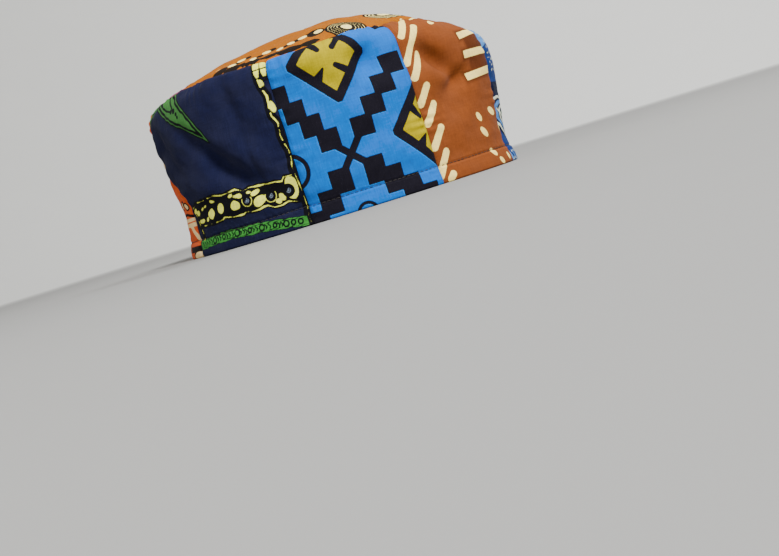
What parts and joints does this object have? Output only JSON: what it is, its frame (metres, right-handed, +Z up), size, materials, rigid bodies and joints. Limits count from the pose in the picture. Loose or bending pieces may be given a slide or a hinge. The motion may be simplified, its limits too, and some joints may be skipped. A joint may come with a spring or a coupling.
{
  "type": "patchwork prayer cap",
  "caption": "Round flat-crowned patchwork cotton cap with a stitched hem and a low domed crown, standing on its rim.",
  "frame": {"origin": "middle of the rim, in the plane that the cap stands on", "axes": "+X towards the wearer's front, +Y towards the wearer's left, +Z up out of the crown"},
  "size_m": [0.2047, 0.1645, 0.1074],
  "materials": {
    "navy_print": "plain-woven printed cotton, matt",
    "blue_print": "plain-woven printed cotton, matt",
    "rust_print": "plain-woven printed cotton, matt",
    "indigo_print": "plain-woven printed cotton, matt",
    "ochre_print": "plain-woven printed cotton, matt",
    "orange_print": "plain-woven printed cotton, matt",
    "magenta_print": "plain-woven printed cotton, matt",
    "black_cotton": "plain-woven cotton, matt"
  },
  "bodies": {
    "root": {"wall_front_indigo": "indigo_print", "wall_left_ochre": "ochre_print", "wall_left_blue": "blue_print", "wall_left_rust": "rust_print", "wall_back_orange": "orange_print", "wall_right_navy": "navy_print", "wall_right_blue": "blue_print", "wall_right_rust": "rust_print", "crown_front": "navy_print", "crown_left": "rust_print", "crown_back": "magenta_print", "crown_right": "ochre_print", "lining": "black_cotton"}
  },
  "joints": []
}
